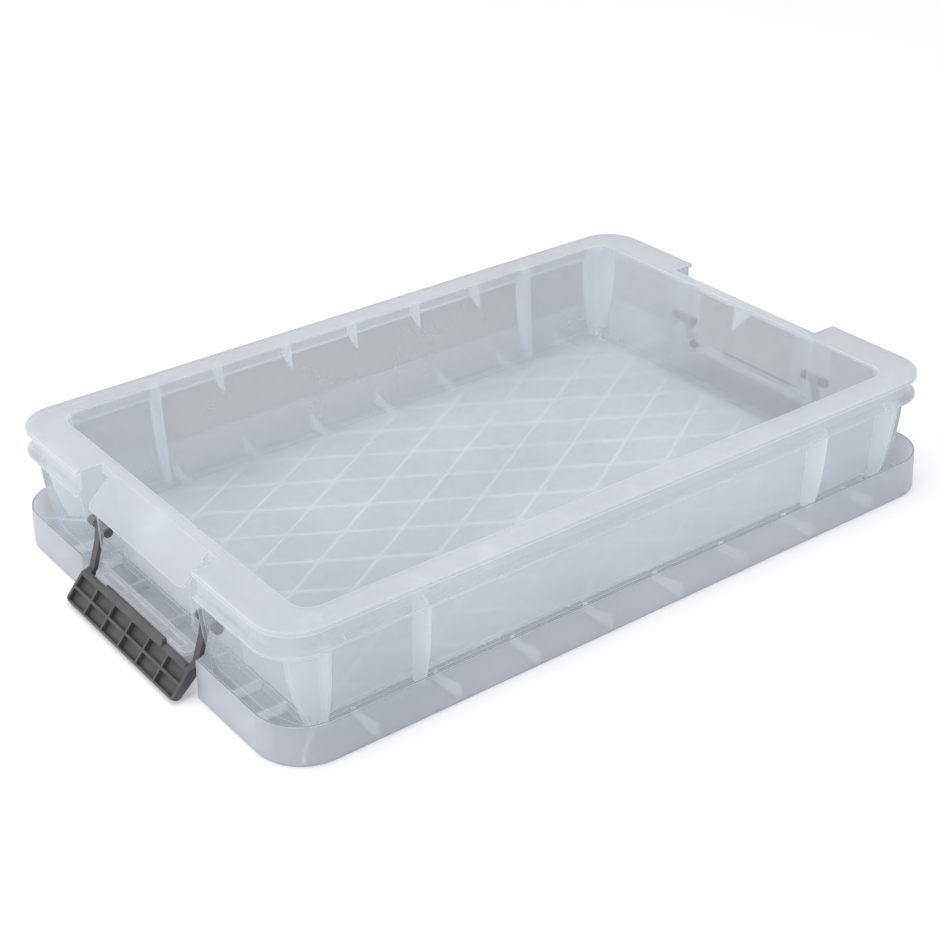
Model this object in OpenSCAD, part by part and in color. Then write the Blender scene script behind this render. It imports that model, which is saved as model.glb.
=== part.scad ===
// Flat storage box with clip handles, shown open: the lid lies upside down
// and the tub stands in it. Millimetres. The origin is on the floor under the
// middle of the box, +X runs along its length and +Z is up.

/* [Lid] */
// Length of the lid over its rim
lid_length = 600; // [520:1:760]
// Width of the lid over its rim
lid_width = 388; // [340:1:520]
// Radius of the lid's corners
lid_corner = 36; // [30:1:44]
// Height of the lid's skirt
lid_height = 31.4; // [27:0.1:40]
// How far the skirt leans out from its rim to the lid's top
lid_lean = 1.2; // [0.4:0.1:2]
// Wall of the lid
lid_wall = 1.8; // [1.5:0.1:2.4]
// Height of the sunk middle panel
panel_rise = 8.3; // [6:0.1:9]
// Height of the diamond stiffening ribs on the panel
lattice_rise = 1.4; // [0.8:0.1:2]
// Spacing of the diamond stiffening ribs
lattice_pitch = 39.6; // [30:0.1:60]
// Spacing of the ribs in the lid's long channels
channel_pitch = 66; // [50:1:90]

/* [Tub] */
// Height of the tub's rim above the floor when it stands in the lid
rim_top = 99.3; // [94:0.1:130]
// Height of the tub's foot above the floor
foot_top = 10; // [10:0.1:12]
// Side play between the tub's rim and the lid's skirt, at the ends
rim_play_x = 2.1; // [1:0.1:4]
// Side play between the tub's rim and the lid's skirt, at the long sides
rim_play_y = 3.6; // [1:0.1:6]
// Radius of the rim's outer corners
rim_corner = 31; // [26:1:36]
// Width of the rim at the ends
flange_x = 30.3; // [28:0.1:40]
// Width of the rim along the long sides
flange_y = 21.2; // [18:0.1:30]
// Radius of the mouth's corners
mouth_corner = 14; // [12:1:20]
// Wall of the tub
wall = 1.8; // [1.5:0.1:2.4]
// Thickness of the rim plate
plate = 2.2; // [1.8:0.1:3]
// Height of the skirt that hangs from the rim
skirt_height = 20.5; // [16:0.1:26]
// How far the skirt's foot stands out past the rim at the ends
skirt_out = 1.3; // [0:0.1:1.4]
// How far the skirt's foot stays behind the rim along the long sides
skirt_in = 1; // [0:0.1:3]
// How far the skirt is set back under the rim
skirt_inset = 4.6; // [3:0.1:5]
// Spacing of the gussets under the rim's long sides
gusset_pitch = 63.6; // [50:0.1:72]
// How far the mouth narrows from the rim to the foot
wall_lean = 2.8; // [1:0.1:4]
// Outer radius between the walls and the floor
foot_round = 8; // [6:0.5:9]

/* [Corner columns] */
// Length of each corner column along the long sides
column_x = 114; // [90:1:140]
// How far the columns stand behind the skirt's foot at the ends
column_set_x = 2.6; // [0.4:0.1:2.8]
// How far the columns stand behind the skirt's foot at the long sides
column_set_y = 0.2; // [0:0.1:2]
// Outer corner radius of the columns
column_corner = 48; // [44:1:56]
// How far the columns draw in at the foot
column_lean = 10; // [3:0.5:12]
// Height of the columns' open lower edge above the tub's foot
column_rise = 1; // [0.8:0.1:12]
// How much higher that edge stands at the ends
end_rise = 11; // [0:0.5:20]

/* [Handles] */
// Width of the gap in the rim for each handle
gap_width = 166; // [150:1:200]
// Play between a handle's ends and the gap
handle_play = 4.3; // [3:0.1:8]
// Diameter of the handle's hinge pins
pin_d = 7.4; // [6:0.1:9]
// Radial play of the pins in their holes
pin_play = 0.08; // [0.02:0.01:0.1]
// Distance of the hinge axis inward from the rim's edge
hinge_in = 11.3; // [10:0.1:14]
// Height of the hinge axis under the rim's top
hinge_down = 46.1; // [44:0.1:50]
// Width of each arm
arm_width = 6.8; // [5:0.1:9]
// How far the top of the catch lies below the hinge axis
catch_down = 26; // [25:0.1:27]
// Length of the grip panel's face from edge to edge
grip_length = 23.8; // [20:0.1:26]
// Lean of the grip panel, in degrees from hanging straight down
grip_lean = 40.6; // [36:0.1:44]
// Depth of the pockets in the grip panel
pocket_depth = 4; // [3:0.1:4.2]
// Thickness of the ribs between the pockets
grip_rib = 1.8; // [1.2:0.1:2.4]

/* [Hidden] */
$fn = 64;

clear_plastic = [0.80, 0.83, 0.88, 0.55];
dark_plastic = [0.27, 0.27, 0.28];
cut = 1;                 // how far a cutting shape reaches past a face
bite = 0.9;              // how far one wall reaches into another
sink = 0.2;              // how far a plate's end reaches into a thin skin
root = 0.4;              // how far a rib's root reaches into the plate under it

// Half sizes of the lid's rim and of its parts
lid_a = lid_length / 2;
lid_b = lid_width / 2;

// Half sizes of the tub's rim edge, mouth and corner columns
rim_a = lid_a - lid_wall - rim_play_x;
rim_b = lid_b - lid_wall - rim_play_y;
mouth_a = rim_a - flange_x;
mouth_b = rim_b - flange_y;
skirt_a = rim_a + skirt_out;
skirt_b = rim_b - skirt_in;
column_a = skirt_a - column_set_x;
column_b = skirt_b - column_set_y;
column_foot = foot_top + column_rise;
skirt_foot = rim_top - skirt_height;
skirt_edge = 1.6;        // height of the upright edge at the skirt's foot
column_top = skirt_foot + skirt_edge - sink;
under_plate = rim_top - plate;

// Half width of the gap and what stands in it
gap = gap_width / 2;
cheek = 2.5;             // thickness of the plate at each end of the gap
slot_plate = 1.8;        // thickness of the inner plate that holds a pin's inner end
ledge = 9.2;             // width of the rim that is left along the gap
hinge_x = rim_a - hinge_in;
hinge_z = rim_top - hinge_down;
pin_r = pin_d / 2;
pin_hole_r = pin_r + pin_play;
handle_half = gap - handle_play;
arm_in = handle_half - arm_width;
arm_play = 4.3;          // play between an arm and the inner plate
pin_past_slot = 0.8;     // how far a pin's inner end stands out of the inner plate
pin_past_cheek = 5.5;    // how far its outer end stands out of the cheek
slot_out = arm_in - arm_play;
pin_in = slot_out - slot_plate - pin_past_slot;
pin_out = gap + cheek + pin_past_cheek;

// The lid's sunk panel, which drops into the tub's mouth when the lid is on
panel_gap = 3.8;
panel_a = mouth_a - panel_gap;
panel_b = mouth_b - panel_gap;
panel_corner = 12;

// The lip on the lid that a handle snaps over, and the notch behind it
lip_short = 17;          // how far the lip ends short of the gap's ends
lip_depth = 10;          // how far the lip stands out from the lid's wall
behind_hinge = 4.6;      // from the hinge axis out to the face of that wall
notch_play = 0.8;        // play between a handle's ends and the notch
lip_under = 24;
lip_top = 26.9;
lip_half = gap - lip_short;
recess_x = hinge_x + behind_hinge;
lip_out = recess_x + lip_depth;
notch = handle_half + notch_play;

function arc(c, r, a1, a2, n) =
    [for (i = [0:n]) let (t = a1 + (a2 - a1) * i / n) c + r * [cos(t), sin(t)]];
function reversed(list) = [for (i = [len(list) - 1:-1:0]) list[i]];
function moved(list, by) = [for (p = list) [p[0] + by, p[1]]];

// Rounded rectangle of half sizes a and b
module rounded(a, b, r) {
    square([2 * a, 2 * (b - r)], center = true);
    square([2 * (a - r), 2 * b], center = true);
    for (x = [-1, 1], y = [-1, 1]) translate([x * (a - r), y * (b - r)]) circle(r);
}

// A profile (x outward, y up) run along a side parallel to X, at y = b
module along_x(b, x1, x2) {
    translate([x1, b, 0]) rotate([90, 0, 90]) linear_extrude(x2 - x1) children();
}

// The same along a side parallel to Y, at x = a
module along_y(a, y1, y2) {
    translate([a, y2, 0]) rotate([90, 0, 0]) linear_extrude(y2 - y1) children();
}

// The same round a corner of radius r, whose sides are at a and b
module round_corner(a, b, r) {
    translate([a - r, b - r, 0]) rotate_extrude(angle = 90) translate([r, 0]) children();
}

module flipped_x(on) {
    if (on) mirror([1, 0, 0]) children();
    else children();
}

module flipped_y(on) {
    if (on) mirror([0, 1, 0]) children();
    else children();
}

module both_ends() {
    for (f = [false, true]) flipped_x(f) children();
}

module both_sides() {
    for (f = [false, true]) flipped_y(f) children();
}

// A profile run all the way round a rounded rectangle
module all_round(a, b, r) {
    both_sides() along_x(b, r - a, a - r) children();
    both_ends() along_y(a, r - b, b - r) children();
    both_ends() both_sides() round_corner(a, b, r) children();
}

// A flat plate with its outline in XZ, between y1 and y2
module plate_xz(y1, y2, points) {
    translate([0, y2, 0]) rotate([90, 0, 0]) linear_extrude(y2 - y1) polygon(points);
}

// A flat plate with its outline in YZ, between x1 and x2
module plate_yz(x1, x2, points) {
    translate([x1, 0, 0]) rotate([90, 0, 90]) linear_extrude(x2 - x1) polygon(points);
}

// ---- Tub -----------------------------------------------------------------

foot_arc = [wall - wall_lean - foot_round, foot_top + foot_round];

// Points down the wall from the rim, at a depth inside its outer face
function wall_line(depth, last) = concat(
    [[wall - depth, under_plate]],
    arc(foot_arc, foot_round - depth, 0, last, 6));

module wall_profile() {
    polygon(concat(wall_line(0, -90), reversed(wall_line(wall, -90))));
}

// Offset of the wall's outer face from the mouth at height z
function wall_at(z) =
    wall - wall_lean * (under_plate - z) / (under_plate - foot_top - foot_round);

// Inward offset of a corner column's outer face at height z
function column_in(z) =
    let (s = (column_top - z) / (column_top - column_foot))
    s <= 0 ? 0 : column_lean * pow(s, 2);
column_steps = 10;
column_heights = [for (i = [0:column_steps])
    column_top + (column_foot - column_top) * i / column_steps];
function column_line(depth) = [for (z = column_heights) [-column_in(z) - depth, z]];

module column_profile() {
    polygon(concat(column_line(0), reversed(column_line(wall))));
}

// The column's wall above the skirt's foot, which only its corner needs
module column_head_profile() {
    polygon([[-skirt_inset - wall, under_plate], [-skirt_inset, under_plate],
             [-skirt_inset, column_top + skirt_inset], [0, column_top],
             [-wall, column_top - wall], [-skirt_inset - wall, column_top + skirt_inset - wall]]);
}

module skirt_profile() {
    cove = skirt_inset;
    polygon(concat(
        [[-cove - wall, under_plate], [-cove, under_plate]],
        arc([0, skirt_foot + skirt_edge + cove], cove, 180, 270, 6),
        [[0, skirt_foot], [-skirt_edge, skirt_foot], [-cove - wall, skirt_foot + cove]]));
}

// The thin edge that hangs from the rim plate
module edge_profile() {
    drop = 1.4;
    polygon([[-1.6, under_plate], [0, under_plate], [0, under_plate - drop], [-1.2, under_plate - drop]]);
}

module rim_plate() {
    difference() {
        translate([0, 0, under_plate]) linear_extrude(plate) rounded(rim_a, rim_b, rim_corner);
        translate([0, 0, under_plate - cut]) linear_extrude(plate + 2 * cut)
            rounded(mouth_a, mouth_b, mouth_corner);
        both_ends() translate([mouth_a + ledge, -gap, under_plate - cut])
            cube([flange_x, gap_width, plate + 2 * cut]);
    }
}

// Everything that hangs from the rim's edge, but not across the gaps
module round_the_rim(a, b) {
    both_sides() along_x(b, rim_corner - a, a - rim_corner) children();
    both_ends() both_sides() {
        along_y(a, gap, b - rim_corner) children();
        round_corner(a, b, rim_corner) children();
    }
}

column_end = rim_a - column_x;

module corner_column() {
    along_x(column_b, column_end, column_a - column_corner) column_profile();
    along_y(column_a, gap, column_b - column_corner) column_profile();
    round_corner(column_a, column_b, column_corner) column_profile();
    round_corner(column_a, column_b, column_corner) column_head_profile();
}

// Outline of a plate that stands between the tub's wall and a column's face,
// where the mouth's side is at m, the skirt's foot at e and the column at c
function web_points(m, e, c) = concat(
    [[m + wall_at(under_plate) - bite, under_plate + sink],
     [m + wall_at(column_foot) - bite, column_foot]],
    moved(reversed(column_line(bite)), c),
    [[e - root, skirt_foot + root], [e - skirt_inset - bite, skirt_foot + skirt_inset + 2],
     [e - skirt_inset - bite, under_plate + sink]]);

// The cheek at the end of a gap, with the hole for a hinge pin
module gap_cheek() {
    difference() {
        plate_xz(gap, gap + cheek, web_points(mouth_a, skirt_a, column_a));
        translate([hinge_x, gap - cut, hinge_z]) rotate([-90, 0, 0])
            cylinder(r = pin_hole_r, h = cheek + 2 * cut);
    }
}

module column_return() {
    plate_yz(column_end, column_end + wall, web_points(mouth_b, skirt_b, column_b));
}

// Offset of the column's rounded face at height z, on a line that runs at a
// distance d outside the centre of the column's corner
function column_reach(z, d) =
    let (u = z > column_top ? -skirt_inset - bite : -column_in(z) - bite)
    sqrt(pow(column_corner + u, 2) - d * d) - column_corner;
function corner_web_points(m_top, m_foot, c, d) = concat(
    [[m_top, under_plate + sink], [m_foot, column_foot]],
    [for (z = concat(reversed(column_heights), [column_top + 1, under_plate + sink]))
        [c + column_reach(z, d), z]]);

// Two plates in each corner carry on the lines of the tub's walls. The one
// across the long side starts on the mouth's rounded corner, and the other
// one starts from it.
module corner_webs() {
    web_in = 6.8;            // how far the first plate stands in from the mouth's end
    x_web = mouth_a - web_in;
    y_web = mouth_b + wall + sink;
    round_off = mouth_corner - sqrt(pow(mouth_corner, 2) - pow(x_web - mouth_a + mouth_corner, 2));
    start = mouth_b - round_off - bite;
    plate_yz(x_web - wall, x_web, corner_web_points(
        start + wall_at(under_plate), start + wall_at(column_foot), column_b,
        x_web - (column_a - column_corner)));
    plate_xz(y_web - wall / 2, y_web + wall / 2, corner_web_points(
        x_web - bite, x_web - bite, column_a, y_web - (column_b - column_corner)));
}

// What is cut away below the columns, whose lower edge rises towards the ends
module end_relief() {
    low = mouth_a - 3;
    high = column_a - 8;
    beyond = skirt_a + cut;
    plate_xz(gap - cut, skirt_b + cut, [
        [low, column_foot - cut], [low, column_foot], [high, column_foot + end_rise],
        [beyond, column_foot + end_rise], [beyond, column_foot - cut]]);
}

// A triangular plate under the rim, between the wall and the skirt
gusset_foot = rim_top - 25;
function gusset_points(m, e) = [
    [m + wall_at(under_plate) - bite, under_plate + sink],
    [m + wall_at(gusset_foot) - bite, gusset_foot],
    [e - skirt_inset - bite, skirt_foot + 6], [e - skirt_inset - bite, under_plate + sink]];

module long_side_gussets() {
    for (i = [-2:2])
        plate_yz(i * gusset_pitch - wall / 2, i * gusset_pitch + wall / 2,
            gusset_points(mouth_b, skirt_b));
}

// The apron slopes from the ledge down to the line of the skirt's foot
apron_past = 0.7;        // how far the apron's foot hangs below the skirt's
apron_run = [skirt_a - mouth_a - ledge, skirt_height + apron_past];
apron_slope = atan2(apron_run[1], apron_run[0]);
apron_length = norm(apron_run);

module apron() {
    r = 6;
    translate([mouth_a + ledge, 0, rim_top]) rotate([0, apron_slope, 0])
        translate([0, 0, -plate]) linear_extrude(plate) {
            translate([0, -slot_out]) square([apron_length - r, 2 * slot_out]);
            translate([0, r - slot_out]) square([apron_length, 2 * (slot_out - r)]);
            for (s = [-1, 1]) translate([apron_length - r, s * (slot_out - r)]) circle(r);
        }
}

// The inner plates that hold the inner ends of the pins, and a middle gusset
module apron_plates() {
    difference() {
        both_sides() plate_xz(slot_out - slot_plate, slot_out, [
            [mouth_a + bite - 0.6, under_plate + sink], [mouth_a + bite - 1.4, hinge_z - 17],
            [hinge_x + 2, hinge_z - 17], [hinge_x + 6.2, hinge_z - 11],
            [hinge_x + 6.2, rim_top - 21], [mouth_a + ledge, under_plate]]);
        for (s = [-1, 1]) translate([hinge_x, s * slot_out, hinge_z]) rotate([90, 0, 0])
            translate([0, 0, -slot_plate - cut]) cylinder(r = pin_hole_r, h = 2 * (slot_plate + cut));
    }
    plate_xz(-wall / 2, wall / 2, [
        [mouth_a + bite, under_plate + sink], [mouth_a + bite - 0.8, gusset_foot],
        [rim_a - 8, rim_top - 16], [mouth_a + ledge, under_plate]]);
}

// A short edge under the ledge beside the apron, where the arms swing past
module ledge_edges() {
    drop = 8;
    overlap = 0.5;
    both_sides() translate([mouth_a + ledge - wall, slot_out - overlap, rim_top - drop])
        cube([wall, gap - slot_out + 2 * overlap, drop - plate + sink]);
}

module tub() {
    color(clear_plastic) {
        translate([0, 0, foot_top]) linear_extrude(wall)
            rounded(mouth_a + foot_arc[0], mouth_b + foot_arc[0], mouth_corner + foot_arc[0]);
        all_round(mouth_a, mouth_b, mouth_corner) wall_profile();
        rim_plate();
        round_the_rim(skirt_a, skirt_b) skirt_profile();
        round_the_rim(rim_a, rim_b) edge_profile();
        both_ends() {
            apron();
            apron_plates();
            ledge_edges();
            both_sides() difference() {
                union() {
                    corner_column();
                    corner_webs();
                    gap_cheek();
                    column_return();
                }
                end_relief();
            }
        }
        both_sides() long_side_gussets();
    }
}

// ---- Lid, lying upside down ------------------------------------------------

lid_edge = 1.5;          // bevel round the lid's top, which lies on the floor

module lid_skirt_profile() {
    hem = lid_wall + 2;
    polygon([[lid_lean - lid_edge, 0], [lid_lean, lid_edge], [0, lid_height], [-lid_wall, lid_height],
             [lid_lean - lid_wall, lid_wall], [-hem, lid_wall], [-hem, 0]]);
}

module lid_plate() {
    grow = lid_lean - lid_edge;
    difference() {
        linear_extrude(lid_wall) rounded(lid_a + grow, lid_b + grow, lid_corner + grow);
        translate([0, 0, -cut]) linear_extrude(lid_wall + 2 * cut)
            rounded(panel_a - lid_wall, panel_b - lid_wall, panel_corner - lid_wall);
        both_ends() translate([recess_x, -gap, -cut])
            cube([lid_a, gap_width, lid_wall + 2 * cut]);
    }
}

module lid_panel() {
    translate([0, 0, panel_rise - lid_wall]) linear_extrude(lid_wall)
        rounded(panel_a, panel_b, panel_corner);
    all_round(panel_a, panel_b, panel_corner)
        polygon([[-lid_wall, 0], [0, 0], [0, panel_rise], [-lid_wall, panel_rise]]);
}

// Diamond ribs that run parallel to the panel's diagonals. A rib at distance d
// from the middle is cut where it meets the panel's rounded edge.
lattice_margin = 4;
lattice_rib = 1.8;       // thickness of the diamond ribs
lattice_a = panel_a - lattice_margin;
lattice_b = panel_b - lattice_margin;
lattice_angle = atan2(lattice_b, lattice_a);
lattice_reach = lattice_a * sin(lattice_angle) + lattice_b * cos(lattice_angle);

function clip(d) =
    let (s = sin(lattice_angle), c = cos(lattice_angle),
         at_x = [(-lattice_a + d * s) / c, (lattice_a + d * s) / c],
         at_y = [(-lattice_b - d * c) / s, (lattice_b - d * c) / s])
    [max(at_x[0], at_y[0]), min(at_x[1], at_y[1])];

module lattice() {
    last = floor(lattice_reach / lattice_pitch - 0.3);
    for (f = [false, true], i = [-last:last])
        let (d = i * lattice_pitch, ends = clip(d))
            flipped_y(f) rotate([0, 0, lattice_angle])
                translate([ends[0], d - lattice_rib / 2, panel_rise - root])
                    cube([ends[1] - ends[0], lattice_rib, lattice_rise + root]);
}

// Outline of a rib across the channel, from the panel's riser at p to the skirt at k
channel_rib_t = 1.6;     // thickness of the ribs in the channel
rib_low = 0.6;           // how far their tops stay below the tub's foot
rib_top = foot_top - rib_low;
function channel_rib(p, k) = [
    [p - bite, lid_wall - root], [p - bite, panel_rise - sink], [p + 1.5, rib_top],
    [k - 16, rib_top], [k - lid_wall + bite, rib_top + 4.5], [k, lid_wall - root]];

// Both ribs across an end channel, from the end of the gap
end_ribs = [17, 49];

module channel_ribs() {
    h = channel_rib_t / 2;
    for (i = [0:3]) let (x = (i + 0.5) * channel_pitch)
        plate_yz(x - h, x + h, channel_rib(panel_b, lid_b));
    for (d = end_ribs) plate_xz(gap + d - h, gap + d + h, channel_rib(panel_a, lid_a));
}

// One rib in each corner of the channel
module corner_rib() {
    c = [lid_a - lid_corner, lid_b - lid_corner];
    from = [panel_a - panel_corner, panel_b - panel_corner]
        + (panel_corner - bite) * [cos(48), sin(48)];
    to = c + (lid_corner - bite) * [cos(56), sin(56)];
    way = to - from;
    translate([from[0], from[1], lid_wall - root]) rotate([0, 0, atan2(way[1], way[0])])
        translate([0, -channel_rib_t / 2, 0])
            cube([norm(way), channel_rib_t, rib_top - lid_wall + root]);
}

// The walls of the notch in the lid, with the lip that a handle snaps over
module lid_notch() {
    translate([recess_x - lid_wall, -notch - 1, 0])
        cube([lid_wall, 2 * notch + 2, lip_under + 1]);
    both_sides() linear_extrude(lid_height - sink) polygon([
        [recess_x - lid_wall, notch], [recess_x, notch], [lid_a - bite, gap],
        [lid_a - bite, gap + lid_wall], [recess_x - lid_wall, notch + lid_wall]]);
    lip();
    for (y = [-0.35, 0, 0.35] * gap_width)
        translate([panel_a - bite, y - channel_rib_t / 2, lid_wall - root])
            cube([recess_x - panel_a, channel_rib_t, rib_top - lid_wall + root]);
}

// The lip: a shelf with a raised edge and low ribs between shallow pockets
module lip() {
    r = 5;
    pocket = 1.4;
    difference() {
        translate([0, 0, lip_under]) linear_extrude(lip_top - lip_under) {
            translate([recess_x - 1, -lip_half]) square([lip_out - r - recess_x + 1, 2 * lip_half]);
            translate([recess_x - 1, r - lip_half])
                square([lip_out - recess_x + 1, 2 * (lip_half - r)]);
            for (s = [-1, 1]) translate([lip_out - r, s * (lip_half - r)]) circle(r);
        }
        for (p = [[-0.86, -0.5], [-0.44, 0.38], [0.44, 0.86]])
            translate([recess_x + 2.4, p[0] * lip_half, lip_top - pocket])
                cube([lip_depth - 4.4, (p[1] - p[0]) * lip_half, pocket + cut]);
    }
}

module lid() {
    color(clear_plastic) {
        lid_plate();
        lid_panel();
        lattice();
        both_sides() along_x(lid_b, lid_corner - lid_a, lid_a - lid_corner) lid_skirt_profile();
        both_ends() {
            lid_notch();
            both_sides() {
                along_y(lid_a, gap, lid_b - lid_corner) lid_skirt_profile();
                round_corner(lid_a, lid_b, lid_corner) lid_skirt_profile();
                channel_ribs();
                corner_rib();
            }
        }
    }
}

// ---- Handles -----------------------------------------------------------------

// Side view of a handle as it hangs, from the hinge axis: x outward, y up
grip_way = [sin(grip_lean), -cos(grip_lean)];   // down along the grip's face
grip_deep = [-cos(grip_lean), -sin(grip_lean)]; // from the face into the grip
knee = [18.7, -31.4];                           // top edge of the grip's face
lip_play = 0.4;                                 // play between the strip and the lip
strip_in = lip_out + lip_play - hinge_x;        // inner face of the strip beside the lip
strip_top = -catch_down;
grip_top_t = 8;                                 // thickness of the grip at its top
grip_foot_t = 5.6;                              // thickness of the grip at its foot

// A point on the grip: distance down its face and depth below it
function on_grip(down, deep) = knee + down * grip_way + deep * grip_deep;

grip_back = on_grip(0, grip_top_t);
grip_back_foot = on_grip(grip_length, grip_foot_t);
back_slope = (grip_back_foot[1] - grip_back[1]) / (grip_back_foot[0] - grip_back[0]);
foot_r = 2.4;
rounded_foot = concat(
    arc(on_grip(grip_length - foot_r, foot_r), foot_r, grip_lean, grip_lean - 90, 5),
    arc(on_grip(grip_length - foot_r, grip_foot_t - foot_r), foot_r,
        grip_lean - 90, grip_lean - 174, 5));

arm_points = concat(
    [[pin_r, 0], [5.5, -9.8], [8.5, -18.8], [12, -29], [14, -30.2], knee], rounded_foot,
    [on_grip(3, grip_top_t), [8.8, -30.4], [5.4, -20], [2.3, -10.6], [0.4, -pin_r], [-0.6, -1]]);

grip_points = concat(
    [[strip_in, strip_top - 4], [strip_in + 2.6, strip_top - 4], knee], rounded_foot,
    [[strip_in, grip_back[1] + back_slope * (strip_in - grip_back[0])]]);

catch_points = [
    [strip_in, strip_top], [strip_in + 2.4, strip_top], [strip_in + 3.3, strip_top - 1],
    on_grip(0.8, -0.6), on_grip(1.4, 1), [strip_in, knee[1] - 2]];

pocket_rows = [[1.6, 10.7], [12.5, grip_length - 2.2]];
pocket_columns = 6;
pocket_rim = 2.6;                               // width of the grip beside the pockets

module pockets() {
    span = 2 * (handle_half - pocket_rim);
    pitch = (span + grip_rib) / pocket_columns;
    for (row = pocket_rows, i = [0:pocket_columns - 1])
        let (y = -span / 2 + i * pitch)
            plate_xz(y, y + pitch - grip_rib, [
                on_grip(row[0], -cut), on_grip(row[1], -cut),
                on_grip(row[1] - 0.3, pocket_depth), on_grip(row[0] + 0.3, pocket_depth)]);
}

// What is left of the grip when its lower corners are rounded
module grip_outline() {
    r = 5;
    w = handle_half;
    translate([knee[0], 0, knee[1]]) rotate([0, -grip_lean, 0])
        translate([20, 0, 0]) rotate([0, -90, 0]) linear_extrude(60) {
            translate([r - grip_length, -w]) square([80, 2 * w]);
            translate([-grip_length, r - w]) square([80, 2 * (w - r)]);
            for (s = [-1, 1]) translate([r - grip_length, s * (w - r)]) circle(r);
        }
}

// Handle at the +X end, drawn with its hinge axis along Y through the origin
module handle_shape() {
    catch_half = 42;
    intersection() {
        difference() {
            union() {
                both_sides() plate_xz(arm_in, handle_half, arm_points);
                plate_xz(-arm_in - 0.5, arm_in + 0.5, grip_points);
                plate_xz(-catch_half, catch_half, catch_points);
            }
            pockets();
        }
        grip_outline();
    }
    both_sides() {
        translate([0, arm_in, 0]) rotate([-90, 0, 0]) cylinder(r = pin_r + 0.3, h = arm_width);
        translate([0, pin_in, 0]) rotate([-90, 0, 0]) cylinder(r = pin_r, h = pin_out - pin_in);
    }
}

module handle_right() {
    color(dark_plastic) translate([hinge_x, 0, hinge_z]) handle_shape();
}

module handle_left() {
    color(dark_plastic) mirror([1, 0, 0]) translate([hinge_x, 0, hinge_z]) handle_shape();
}

lid();
tub();
handle_left();
handle_right();
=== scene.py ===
import math
import bpy
from mathutils import Matrix, Vector

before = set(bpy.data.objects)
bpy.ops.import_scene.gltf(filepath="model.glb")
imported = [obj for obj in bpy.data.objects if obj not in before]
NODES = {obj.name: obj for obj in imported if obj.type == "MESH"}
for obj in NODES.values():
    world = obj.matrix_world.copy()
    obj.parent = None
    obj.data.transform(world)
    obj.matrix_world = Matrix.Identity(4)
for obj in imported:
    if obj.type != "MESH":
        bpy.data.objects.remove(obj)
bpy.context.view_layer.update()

# ---- Camera, solved from the outlines of the rim and the lid -----------------

FOCAL_PX = 1830.38        # focal length in pixels of the square picture
PICTURE = 940             # width of that picture in pixels
SENSOR_MM = 36.0
CAMERA_AT = (-0.74226, -0.98983, 0.7292)
AZIMUTH = math.radians(36.47)
ELEVATION = math.radians(29.35)
ROLL = math.radians(-1.13)
NEAREST, FURTHEST = 0.01, 50


def add_camera():
    back = Vector((
        -math.sin(AZIMUTH) * math.cos(ELEVATION),
        -math.cos(AZIMUTH) * math.cos(ELEVATION),
        math.sin(ELEVATION),
    ))
    right = (-back).cross(Vector((0, 0, 1))).normalized()
    up = right.cross(-back)
    right_rolled = math.cos(ROLL) * right + math.sin(ROLL) * up
    up_rolled = math.cos(ROLL) * up - math.sin(ROLL) * right
    turn = Matrix((right_rolled, up_rolled, back)).transposed()
    data = bpy.data.cameras.new("camera")
    data.sensor_width = SENSOR_MM
    data.lens = FOCAL_PX * SENSOR_MM / PICTURE
    data.clip_start, data.clip_end = NEAREST, FURTHEST
    camera = bpy.data.objects.new("camera", data)
    camera.matrix_world = Matrix.Translation(CAMERA_AT) @ turn.to_4x4()
    bpy.context.scene.collection.objects.link(camera)
    bpy.context.scene.camera = camera


# ---- Shader helpers -----------------------------------------------------------

def new_material(name):
    mat = bpy.data.materials.new(name)
    mat.use_nodes = True
    tree = mat.node_tree
    tree.nodes.clear()
    return mat, tree


def feed(tree, socket, value):
    """Links an output to the socket, or sets a plain value on it."""
    if isinstance(value, bpy.types.NodeSocket):
        tree.links.new(value, socket)
    else:
        socket.default_value = value


def node(tree, kind, inputs=None, **settings):
    made = tree.nodes.new(kind)
    for key, value in settings.items():
        setattr(made, key, value)
    for key, value in (inputs or {}).items():
        feed(tree, made.inputs[key], value)
    return made


def noise(tree, coord, scale, detail=2.0, rough=0.5):
    made = node(tree, "ShaderNodeTexNoise", {
        "Vector": coord, "Scale": scale, "Detail": detail, "Roughness": rough})
    return made.outputs["Fac"]


def remap(tree, value, low, high, to_low, to_high):
    made = node(tree, "ShaderNodeMapRange", {
        "Value": value, "From Min": low, "From Max": high,
        "To Min": to_low, "To Max": to_high})
    made.clamp = True
    return made.outputs["Result"]


def math_node(tree, operation, a, b):
    made = node(tree, "ShaderNodeMath", {0: a, 1: b}, operation=operation)
    return made.outputs[0]


def blend(tree, a, b, share):
    """Mixes two heights or tones, with this share of the first one."""
    return math_node(tree, "ADD", math_node(tree, "MULTIPLY", a, share),
                     math_node(tree, "MULTIPLY", b, 1 - share))


def mix_colour(tree, factor, a, b):
    # A Mix node has sockets of the same name for each data type: colours are 6 and 7
    return node(tree, "ShaderNodeMix", {0: factor, 6: a, 7: b}, data_type="RGBA").outputs[2]


def mix_shader(tree, factor, a, b):
    made = node(tree, "ShaderNodeMixShader", {0: factor, 1: a.outputs[0], 2: b.outputs[0]})
    return made


def bump(tree, height, strength, distance):
    made = node(tree, "ShaderNodeBump", {
        "Height": height, "Strength": strength, "Distance": distance})
    return made.outputs[0]


EDGE_STARTS, EDGE_FULL = 0.99, 0.80      # cosine of the rounded normal's turn


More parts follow.
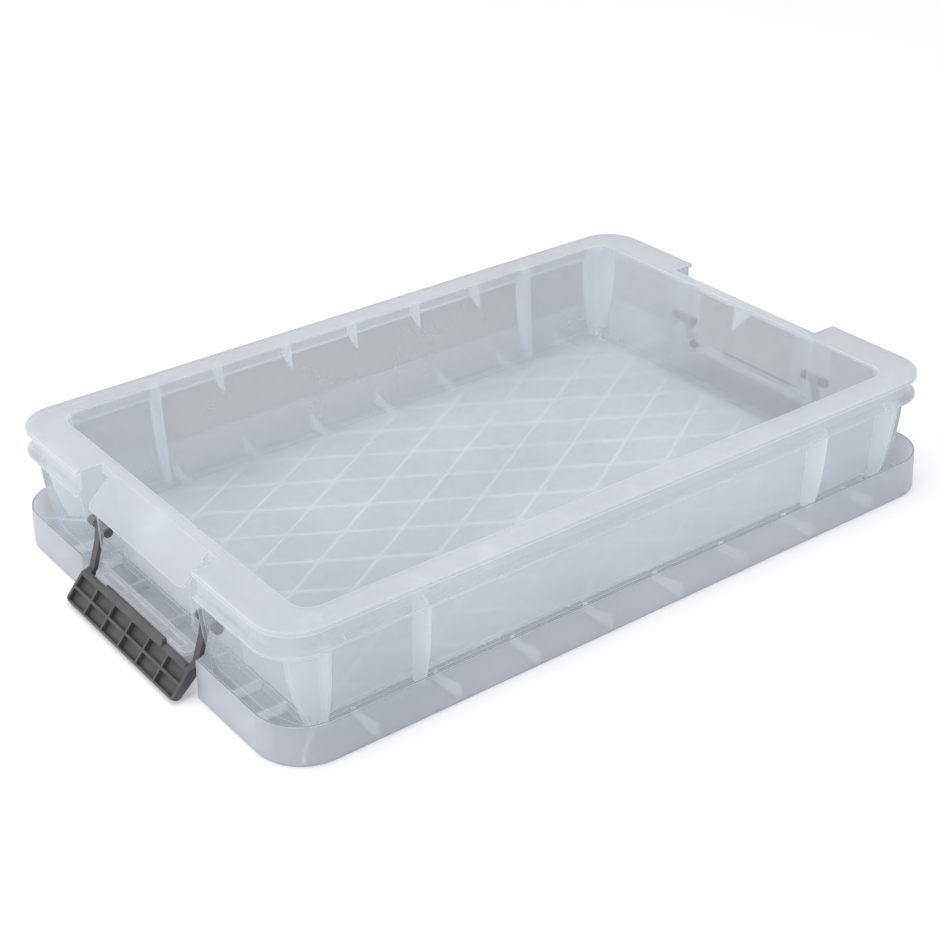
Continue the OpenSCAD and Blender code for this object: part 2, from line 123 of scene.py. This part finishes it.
def edge_mask(tree, radius):
    """1 along edges and 0 on open faces, from how far a rounded normal turns."""
    bevel = node(tree, "ShaderNodeBevel", {"Radius": radius}, samples=4)
    plain = node(tree, "ShaderNodeNewGeometry")
    dot = node(tree, "ShaderNodeVectorMath", {
        0: bevel.outputs[0], 1: plain.outputs["Normal"]}, operation="DOT_PRODUCT")
    return remap(tree, dot.outputs["Value"], EDGE_STARTS, EDGE_FULL, 0.0, 1.0)


# ---- Materials ----------------------------------------------------------------

# A pair of tones is a darker and a lighter colour that slow noise mixes
TUB_TONES = (0.80, 0.815, 0.835, 1), (0.86, 0.875, 0.89, 1)
COLUMN_TONES = (0.78, 0.795, 0.82, 1), (0.84, 0.855, 0.875, 1)
LID_TONES = (0.77, 0.78, 0.81, 1), (0.82, 0.83, 0.855, 1)
# Painted shade: the upper faces of the lid's skirt get this dark grey, for the dark line
# along the lid's edge
LID_EDGE_SHADE_TONES = (0.36, 0.38, 0.41, 1), (0.41, 0.43, 0.46, 1)
# Painted light: the plates and ribs get a lighter copy of the tub's plastic, so that they
# show as bright bands
RIB_PAINTED_LIGHT_TONES = (0.93, 0.945, 0.96, 1), (0.96, 0.97, 0.985, 1)
HANDLE_TONES = (0.074, 0.074, 0.076, 1), (0.098, 0.098, 0.100, 1)
# Painted highlight: the edges of the clear plastic are mixed towards this near white
EDGE_HIGHLIGHT = (0.95, 0.97, 0.99, 1)
CLEAR_WINDOW = (0.97, 0.98, 0.99, 1)
# Wear with a painted highlight: the handles' edges are mixed towards this lighter grey
WORN_AND_HIGHLIT_EDGE = (0.17, 0.17, 0.175, 1)
IOR = 1.49

# How much light one face lets through when it is looked at squarely
TUB_SEE = 0.74
COLUMN_SEE = 0.94
PIN_PLATE_SEE = 0.86
FLOOR_SEE = 0.82
LID_SEE = 0.70
# Low, so that the painted shade on the lid's upper edge shows
LID_EDGE_SHADE_SEE = 0.30
RIB_SEE = 0.28


def clear_plastic(name, tones, see, glow=0.45, graze=0.25):
    """Frosted polypropylene. glow is the share of its body that light passes into,
    and graze is the share of see that is left at a flat angle."""
    mat, tree = new_material(name)
    coord = node(tree, "ShaderNodeTexCoord").outputs["Object"]
    cloud = noise(tree, coord, 9.0, 3.0)
    mottle = noise(tree, coord, 70.0, 4.0, 0.6)
    peel = noise(tree, coord, 420.0, 2.0)
    grain = noise(tree, coord, 2600.0, 2.0)
    edge = edge_mask(tree, 0.0011)

    tone = blend(tree, cloud, mottle, 0.7)
    body = mix_colour(tree, remap(tree, tone, 0.35, 0.65, 0.0, 1.0), *tones)
    # Painted highlight along the edges; further down, the edges are also made less clear, as
    # denser plastic
    colour = mix_colour(tree, math_node(tree, "MULTIPLY", edge, 0.85), body, EDGE_HIGHLIGHT)
    relief = bump(tree, blend(tree, peel, grain, 0.8), 0.35, 0.0003)

    skin = node(tree, "ShaderNodeBsdfPrincipled", {
        "Base Color": colour, "Normal": relief, "IOR": IOR,
        "Roughness": remap(tree, mottle, 0.3, 0.7, 0.30, 0.42)})
    inner = node(tree, "ShaderNodeBsdfTranslucent", {"Color": colour, "Normal": relief})
    solid = mix_shader(tree, glow, skin, inner)

    facing = node(tree, "ShaderNodeLayerWeight", {"Blend": 0.5}).outputs["Facing"]
    clear = remap(tree, facing, 0.3, 1.0, see, see * graze)
    clear = math_node(tree, "MULTIPLY", clear, remap(tree, edge, 0.0, 1.0, 1.0, 0.22))
    clear = math_node(tree, "MULTIPLY", clear, remap(tree, cloud, 0.3, 0.7, 0.93, 1.0))
    window = node(tree, "ShaderNodeBsdfTransparent", {"Color": CLEAR_WINDOW})
    whole = mix_shader(tree, clear, solid, window)
    node(tree, "ShaderNodeOutputMaterial", {"Surface": whole.outputs[0]})
    return mat


def dark_plastic(name):
    """Dark grey moulded plastic with a fine satin texture."""
    mat, tree = new_material(name)
    coord = node(tree, "ShaderNodeTexCoord").outputs["Object"]
    cloud = noise(tree, coord, 45.0, 3.0)
    speck = noise(tree, coord, 1500.0, 3.0)
    edge = edge_mask(tree, 0.0007)
    tone = mix_colour(tree, remap(tree, cloud, 0.35, 0.65, 0.0, 1.0), *HANDLE_TONES)
    # Lighter edges: partly wear, partly a painted highlight
    colour = mix_colour(tree, math_node(tree, "MULTIPLY", edge, 0.45), tone, WORN_AND_HIGHLIT_EDGE)
    skin = node(tree, "ShaderNodeBsdfPrincipled", {
        "Base Color": colour, "Normal": bump(tree, speck, 0.5, 0.0002), "IOR": IOR,
        "Roughness": remap(tree, speck, 0.3, 0.7, 0.40, 0.55)})
    node(tree, "ShaderNodeOutputMaterial", {"Surface": skin.outputs[0]})
    return mat


# ---- Faces that get a plastic of their own, in metres at rest ------------------

WALL = 0.0018                    # thickness of the tub's walls and plates
CHEEK = 0.0025                   # thickness of the plates that the pins go through
LID_RIB = 0.0016
GUSSET_PITCH = 0.0636            # along the long walls
CHANNEL_PITCH = 0.066            # of the ribs in the lid's channel
RETURN_X, CORNER_X, CORNER_Y = 0.1830, 0.2581, 0.1694    # plates in the corner columns
PIN_PLATE_Y, CHEEK_Y = 0.0667, 0.08425
END_RIBS_Y = 0.1000, 0.1320
LATTICE_FOOT, LATTICE_TOP = 0.0084, 0.0098
LATTICE_X, LATTICE_Y = 0.2685, 0.1720    # the lattice lies inside of these
LID_EDGE = 0.0310                # the lid's upper edge is higher than this
FLOOR_TOP = 0.0119
SKIRT_FOOT = 0.0788
OUTSIDE_X, OUTSIDE_Y = 0.2700, 0.1730    # the columns' skin lies outside of these
UPRIGHT, FLAT, NEARLY_FLAT = 0.9998, 0.999, 0.99    # least part of a normal on an axis
NEAR_PLANE = 0.0002


def both_faces(middles, thick):
    return [middle + side * thick / 2 for middle in middles for side in (-1, 1)]


# For each axis, where the faces of the plates across it stand
TUB_PLATES = {
    0: both_faces([0, GUSSET_PITCH, 2 * GUSSET_PITCH, RETURN_X, CORNER_X], WALL),
    1: both_faces([0, CORNER_Y], WALL)}
PIN_PLATES = {1: both_faces([PIN_PLATE_Y], WALL) + both_faces([CHEEK_Y], CHEEK)}
LID_RIBS = {
    0: both_faces([(i + 0.5) * CHANNEL_PITCH for i in range(4)], LID_RIB),
    1: both_faces(END_RIBS_Y, LID_RIB)}


def across_a_plate(face, planes):
    """True for a face that lies in one of the upright planes."""
    for axis, places in planes.items():
        if abs(face.normal[axis]) > UPRIGHT:
            return min(abs(abs(face.center[axis]) - p) for p in places) < NEAR_PLANE
    return False


def of_a_column(face):
    """True for the skin of the corner columns under the skirt."""
    away = max(abs(face.center.x) - OUTSIDE_X, abs(face.center.y) - OUTSIDE_Y)
    return away > 0 and face.center.z < SKIRT_FOOT


def of_the_floor(face):
    return abs(face.normal.z) > FLAT and face.center.z < FLOOR_TOP


def of_the_lattice(face):
    """True for the diamond ribs on the lid's panel, and not for the lid's skirt."""
    inside = abs(face.center.x) < LATTICE_X and abs(face.center.y) < LATTICE_Y
    return inside and LATTICE_FOOT < face.center.z < LATTICE_TOP


def of_the_lids_ribs(face):
    return across_a_plate(face, LID_RIBS) or of_the_lattice(face)


def of_the_lids_edge(face):
    return face.normal.z > NEARLY_FLAT and face.center.z > LID_EDGE


# ---- Looks of each node ---------------------------------------------------------

CREASE = math.radians(28)        # edges sharper than this stay sharp


def smooth_faces():
    for obj in NODES.values():
        obj.data.shade_smooth()
        obj.data.set_sharp_from_angle(angle=CREASE)


def put_on(name, mat):
    mesh = NODES[name].data
    mesh.materials.clear()
    mesh.materials.append(mat)


def paint_faces(name, mat, chosen):
    """Gives the chosen faces of a CAD part a plastic of their own."""
    mesh = NODES[name].data
    mesh.materials.append(mat)
    slot = len(mesh.materials) - 1
    for face in mesh.polygons:
        if chosen(face):
            face.material_index = slot


def dress_tub(rib_painted_light):
    put_on("tub", clear_plastic("tub_plastic", TUB_TONES, TUB_SEE))
    column = clear_plastic("column_plastic", COLUMN_TONES, COLUMN_SEE, graze=0.85)
    paint_faces("tub", column, of_a_column)
    paint_faces("tub", rib_painted_light, lambda face: across_a_plate(face, TUB_PLATES))
    paint_faces("tub", clear_plastic("pin_plate_plastic", TUB_TONES, PIN_PLATE_SEE),
                lambda face: across_a_plate(face, PIN_PLATES))
    paint_faces("tub", clear_plastic("floor_plastic", TUB_TONES, FLOOR_SEE), of_the_floor)


def dress_lid(rib_painted_light):
    put_on("lid", clear_plastic("lid_plastic", LID_TONES, LID_SEE))
    paint_faces("lid", rib_painted_light, of_the_lids_ribs)
    # Painted shade: a dark grey plastic on the upper faces of the lid's skirt
    edge = clear_plastic("lid_edge_painted_shade", LID_EDGE_SHADE_TONES, LID_EDGE_SHADE_SEE)
    paint_faces("lid", edge, of_the_lids_edge)


def dress_handles():
    for name in ("handle_left", "handle_right"):
        put_on(name, dark_plastic(name + "_plastic"))


# ---- Studio ---------------------------------------------------------------------

BEHIND_PLASTIC_SHADE = 0.42       # share of the backdrop's white left where it is seen through the plastic: painted shade
WORLD_LEVEL = 0.60        # what the world lights the object with
FLOOR_HALF = 6.0
FLOOR_DROP = 0.0003       # how far the floor lies below the object's foot
FLOOR_PAINT = (0.86, 0.86, 0.87, 1)
FLOOR_SHADED_BEHIND_PLASTIC = (0.38, 0.38, 0.385, 1)    # painted shade: the floor, darker where it is seen through the plastic
FLOOR_LIFT = 0.24
WHITE_FROM, WHITE_AT = 1.2, 3.5          # metres out, the floor turns into the backdrop
WHITE = (1, 1, 1, 1)
LAMP_SIDE = 2.4


def background_seen(tree):
    """1 for rays that show the background, to the eye or in a reflection."""
    path = node(tree, "ShaderNodeLightPath")
    seen = math_node(tree, "MAXIMUM", path.outputs["Is Camera Ray"],
                     path.outputs["Is Glossy Ray"])
    return math_node(tree, "MAXIMUM", seen, path.outputs["Is Transmission Ray"])


def through_plastic(tree):
    """1 where the eye meets the backdrop through the clear plastic, where the backdrop gets
    painted shade.
    """
    path = node(tree, "ShaderNodeLightPath")
    behind = math_node(tree, "GREATER_THAN", path.outputs["Transparent Depth"], 0.5)
    return math_node(tree, "MULTIPLY", path.outputs["Is Camera Ray"], behind)


def white_world():
    world = bpy.data.worlds.new("studio")
    world.use_nodes = True
    tree = world.node_tree
    tree.nodes.clear()
    strength = remap(tree, background_seen(tree), 0.0, 1.0, WORLD_LEVEL, 1.0)
    # Painted shade: the backdrop is darker where it is seen through the plastic
    strength = math_node(tree, "MULTIPLY", strength,
                         remap(tree, through_plastic(tree), 0.0, 1.0, 1.0, BEHIND_PLASTIC_SHADE))
    shine = node(tree, "ShaderNodeBackground", {"Color": WHITE, "Strength": strength})
    node(tree, "ShaderNodeOutputWorld", {"Surface": shine.outputs[0]})
    bpy.context.scene.world = world


def floor_material():
    """Pale paint that keeps the object's shadow and turns plain white further out."""
    mat, tree = new_material("floor")
    # Painted shade: seen through the plastic, the floor's paint and its white turn darker
    behind = through_plastic(tree)
    paint = node(tree, "ShaderNodeBsdfDiffuse", {
        "Color": mix_colour(tree, behind, FLOOR_PAINT, FLOOR_SHADED_BEHIND_PLASTIC)})
    seen = math_node(tree, "SUBTRACT", background_seen(tree), behind)
    lift = node(tree, "ShaderNodeEmission", {
        "Color": WHITE, "Strength": math_node(tree, "MULTIPLY", seen, FLOOR_LIFT)})
    near = node(tree, "ShaderNodeAddShader", {0: paint.outputs[0], 1: lift.outputs[0]})
    place = node(tree, "ShaderNodeTexCoord").outputs["Object"]
    away = node(tree, "ShaderNodeVectorMath", {0: place}, operation="LENGTH")
    far = math_node(tree, "MULTIPLY", background_seen(tree),
                    remap(tree, away.outputs["Value"], WHITE_FROM, WHITE_AT, 0.0, 1.0))
    white = node(tree, "ShaderNodeEmission", {
        "Color": WHITE, "Strength": remap(tree, behind, 0.0, 1.0, 1.0, BEHIND_PLASTIC_SHADE)})
    ground = mix_shader(tree, far, near, white)
    node(tree, "ShaderNodeOutputMaterial", {"Surface": ground.outputs[0]})
    return mat


def add_floor():
    half = FLOOR_HALF
    mesh = bpy.data.meshes.new("floor")
    mesh.from_pydata([(-half, -half, 0), (half, -half, 0), (half, half, 0), (-half, half, 0)],
                     [], [(0, 1, 2, 3)])
    mesh.materials.append(floor_material())
    floor = bpy.data.objects.new("floor", mesh)
    floor.location.z = -FLOOR_DROP
    bpy.context.scene.collection.objects.link(floor)


def add_lamp(name, at, aim, power):
    data = bpy.data.lights.new(name, "AREA")
    data.shape = "SQUARE"
    data.size = LAMP_SIDE
    data.energy = power
    lamp = bpy.data.objects.new(name, data)
    lamp.location = at
    lamp.rotation_euler = (Vector(aim) - Vector(at)).to_track_quat("-Z", "Y").to_euler()
    bpy.context.scene.collection.objects.link(lamp)


def add_studio():
    white_world()
    add_floor()
    add_lamp("lamp_top", at=(-0.3, 0.3, 3.0), aim=(0, 0, 0), power=34)
    add_lamp("lamp_left", at=(-4.4, -0.8, 1.9), aim=(0, 0, 0.05), power=62)
    scene = bpy.context.scene
    scene.view_settings.view_transform = "Standard"
    scene.cycles.transparent_max_bounces = 32
    scene.cycles.max_bounces = 12
    scene.cycles.diffuse_bounces = 6


add_camera()
smooth_faces()
# Painted light: one lighter plastic for the tub's plates and the lid's ribs
ribs = clear_plastic("rib_painted_light", RIB_PAINTED_LIGHT_TONES, RIB_SEE, glow=0.6)
dress_tub(ribs)
dress_lid(ribs)
dress_handles()
add_studio()
